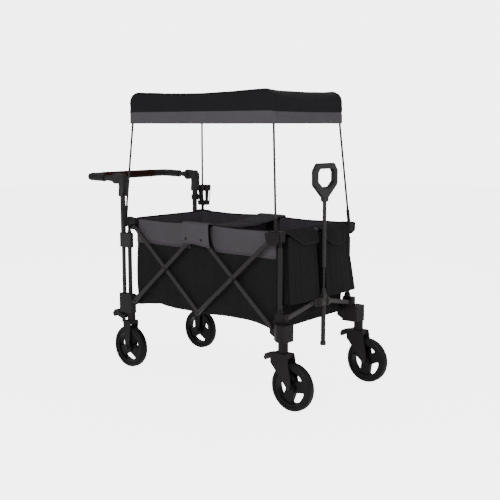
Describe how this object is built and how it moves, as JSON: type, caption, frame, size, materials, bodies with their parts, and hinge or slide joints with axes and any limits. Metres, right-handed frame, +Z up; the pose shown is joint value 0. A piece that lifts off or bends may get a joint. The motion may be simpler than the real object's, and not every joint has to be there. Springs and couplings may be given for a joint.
{
  "type": "folding wagon",
  "caption": "Folding pull wagon with fabric tub, crossed-bar sides, canopy on poles, push handle, telescoping pull handle and swivel casters.",
  "frame": {"origin": "on the ground under the middle of the wagon's bounding box", "axes": "+X forward to the pull handle, +Y to the side with the cup holder, +Z up"},
  "size_m": [1.3252, 0.621, 1.24],
  "materials": {
    "frame_metal": "satin dark grey powder coat",
    "bracket_plastic": "fine grain",
    "wheel_plastic": "satin moulded",
    "tyre_rubber": "smooth tread",
    "black_fabric": "coated woven polyester",
    "grey_fabric": "coated woven polyester",
    "canopy_fabric": "woven polyester",
    "lining_fabric": "woven polyester",
    "brown_grip": "stitched synthetic leather",
    "grip_plastic": "soft touch"
  },
  "bodies": {
    "rear_frame": {"rear_posts": "frame_metal", "rear_bracket_near": "bracket_plastic", "rear_bracket_far": "bracket_plastic", "rear_collars": "bracket_plastic", "push_upright_near": "bracket_plastic", "push_upright_far": "bracket_plastic", "rear_brace": "frame_metal", "rear_fork_near": "bracket_plastic", "rear_fork_far": "bracket_plastic", "cup_holder": "bracket_plastic"},
    "push_bar": {"push_hubs": "bracket_plastic", "push_tube": "frame_metal", "push_corners": "grip_plastic", "push_grip": "brown_grip"},
    "push_button_near": {"push_button_near": "bracket_plastic"},
    "push_button_far": {"push_button_far": "bracket_plastic"},
    "rear_wheel_near": {"rear_rim_near": "wheel_plastic", "rear_tyre_near": "tyre_rubber"},
    "rear_wheel_far": {"rear_rim_far": "wheel_plastic", "rear_tyre_far": "tyre_rubber"},
    "brake_pedal_near": {"brake_pedal_near": "bracket_plastic"},
    "brake_pedal_far": {"brake_pedal_far": "bracket_plastic"},
    "link_a": {"scissor_a_near": "frame_metal", "scissor_a_far": "frame_metal"},
    "link_b": {"scissor_b_near": "frame_metal", "scissor_b_far": "frame_metal"},
    "link_c": {"scissor_c_near": "frame_metal", "scissor_c_far": "frame_metal"},
    "link_d": {"scissor_d_near": "frame_metal", "scissor_d_far": "frame_metal"},
    "rear_top": {"rear_top_bracket_near": "bracket_plastic", "rear_top_bracket_far": "bracket_plastic", "rear_poles": "frame_metal", "tub": "black_fabric", "divider": "lining_fabric", "floor_board": "lining_fabric", "side_flaps": "grey_fabric", "canopy": "canopy_fabric"},
    "front_top": {"front_top_bracket_near": "bracket_plastic", "front_top_bracket_far": "bracket_plastic", "front_poles": "frame_metal", "pocket_near": "black_fabric", "pocket_far": "black_fabric"},
    "front_frame": {"front_posts": "frame_metal", "front_bracket_near": "bracket_plastic", "front_bracket_far": "bracket_plastic", "front_brace": "frame_metal"},
    "front_caster_near": {"front_fork_near": "bracket_plastic"},
    "front_caster_far": {"front_fork_far": "bracket_plastic"},
    "front_wheel_near": {"front_rim_near": "wheel_plastic", "front_tyre_near": "tyre_rubber"},
    "front_wheel_far": {"front_rim_far": "wheel_plastic", "front_tyre_far": "tyre_rubber"},
    "swivel_lock_near": {"swivel_lock_near": "bracket_plastic"},
    "swivel_lock_far": {"swivel_lock_far": "bracket_plastic"},
    "pull_sleeve": {"pull_sleeve": "frame_metal"},
    "pull_mid": {"pull_mid": "frame_metal"},
    "pull_rod": {"pull_rod": "frame_metal", "pull_grip": "grip_plastic"},
    "pull_button": {"pull_button": "bracket_plastic"}
  },
  "joints": [
    {"name": "fold", "type": "hinge", "parent": "rear_frame", "child": "link_a", "pos_m": [-0.33936, -0.0175, 0.31], "axis": [0, -1, 0], "range_deg": [0, 33.5], "deforming": ["tub", "divider", "floor_board", "side_flaps", "canopy"]},
    {"name": "cross_rear", "type": "hinge", "parent": "link_a", "child": "link_b", "pos_m": [-0.14436, -0.0175, 0.479], "axis": [0, -1, 0], "range_deg": [-67.2, 0]},
    {"name": "top_rear", "type": "hinge", "parent": "link_b", "child": "rear_top", "pos_m": [-0.33936, -0.0175, 0.648], "axis": [0, -1, 0], "range_deg": [0, 33.7]},
    {"name": "middle_top", "type": "hinge", "parent": "link_a", "child": "link_d", "pos_m": [0.05064, -0.0175, 0.648], "axis": [0, -1, 0], "range_deg": [-67.2, 0]},
    {"name": "cross_front", "type": "hinge", "parent": "link_d", "child": "link_c", "pos_m": [0.24564, -0.0175, 0.479], "axis": [0, -1, 0], "range_deg": [0, 67.2]},
    {"name": "bottom_front", "type": "hinge", "parent": "link_d", "child": "front_frame", "pos_m": [0.44064, -0.0175, 0.31], "axis": [0, -1, 0], "range_deg": [0, 33.7]},
    {"name": "top_front", "type": "hinge", "parent": "link_c", "child": "front_top", "pos_m": [0.44064, -0.0175, 0.648], "axis": [0, -1, 0], "range_deg": [-33.7, 0]},
    {"name": "push_angle", "type": "hinge", "parent": "rear_frame", "child": "push_bar", "pos_m": [-0.45936, -0.0175, 0.856], "axis": [0, -1, 0], "range_deg": [-60, 60]},
    {"name": "push_button_near_press", "type": "slide", "parent": "rear_frame", "child": "push_button_near", "axis": [0, -1, 0], "range_m": [0, 0.0025], "stiffness_N_per_m": 400},
    {"name": "push_button_far_press", "type": "slide", "parent": "rear_frame", "child": "push_button_far", "axis": [0, 1, 0], "range_m": [0, 0.0025], "stiffness_N_per_m": 400},
    {"name": "rear_wheel_near_spin", "type": "hinge", "parent": "rear_frame", "child": "rear_wheel_near", "pos_m": [-0.38936, -0.2475, 0.095], "axis": [0, 1, 0], "continuous": true},
    {"name": "rear_wheel_far_spin", "type": "hinge", "parent": "rear_frame", "child": "rear_wheel_far", "pos_m": [-0.38936, 0.2125, 0.095], "axis": [0, 1, 0], "continuous": true},
    {"name": "brake_near", "type": "hinge", "parent": "rear_frame", "child": "brake_pedal_near", "pos_m": [-0.41536, -0.2475, 0.232], "axis": [0, -1, 0], "range_deg": [0, 15]},
    {"name": "brake_far", "type": "hinge", "parent": "rear_frame", "child": "brake_pedal_far", "pos_m": [-0.41536, 0.2125, 0.232], "axis": [0, -1, 0], "range_deg": [0, 15]},
    {"name": "caster_near_swivel", "type": "hinge", "parent": "front_frame", "child": "front_caster_near", "pos_m": [0.51964, -0.2795, 0.21], "axis": [0, 0, 1], "continuous": true},
    {"name": "caster_far_swivel", "type": "hinge", "parent": "front_frame", "child": "front_caster_far", "pos_m": [0.51964, 0.2445, 0.21], "axis": [0, 0, 1], "continuous": true},
    {"name": "front_wheel_near_spin", "type": "hinge", "parent": "front_caster_near", "child": "front_wheel_near", "pos_m": [0.56764, -0.2795, 0.095], "axis": [0, 1, 0], "continuous": true},
    {"name": "front_wheel_far_spin", "type": "hinge", "parent": "front_caster_far", "child": "front_wheel_far", "pos_m": [0.56764, 0.2445, 0.095], "axis": [0, 1, 0], "continuous": true},
    {"name": "swivel_lock_near_turn", "type": "hinge", "parent": "front_caster_near", "child": "swivel_lock_near", "pos_m": [0.47364, -0.2795, 0.208], "axis": [0, -1, 0], "range_deg": [0, 15]},
    {"name": "swivel_lock_far_turn", "type": "hinge", "parent": "front_caster_far", "child": "swivel_lock_far", "pos_m": [0.47364, 0.2445, 0.208], "axis": [0, -1, 0], "range_deg": [0, 15]},
    {"name": "pull_tilt", "type": "hinge", "parent": "front_frame", "child": "pull_sleeve", "pos_m": [0.52064, -0.0175, 0.385], "axis": [0, 1, 0], "range_deg": [0, 50]},
    {"name": "pull_lower_slide", "type": "slide", "parent": "pull_sleeve", "child": "pull_mid", "axis": [0, 0, 1], "range_m": [0, 0.16]},
    {"name": "pull_upper_slide", "type": "slide", "parent": "pull_mid", "child": "pull_rod", "axis": [0, 0, 1], "range_m": [-0.07, 0.11]},
    {"name": "pull_button_press", "type": "slide", "parent": "pull_rod", "child": "pull_button", "axis": [0, 0, -1], "range_m": [0, 0.003], "stiffness_N_per_m": 400}
  ],
  "couplings": [
    {"joint": "cross_rear", "follows": "fold", "ratio": -2},
    {"joint": "top_rear", "follows": "fold", "ratio": 1},
    {"joint": "middle_top", "follows": "fold", "ratio": -2},
    {"joint": "cross_front", "follows": "fold", "ratio": 2},
    {"joint": "bottom_front", "follows": "fold", "ratio": 1},
    {"joint": "top_front", "follows": "fold", "ratio": -1}
  ]
}
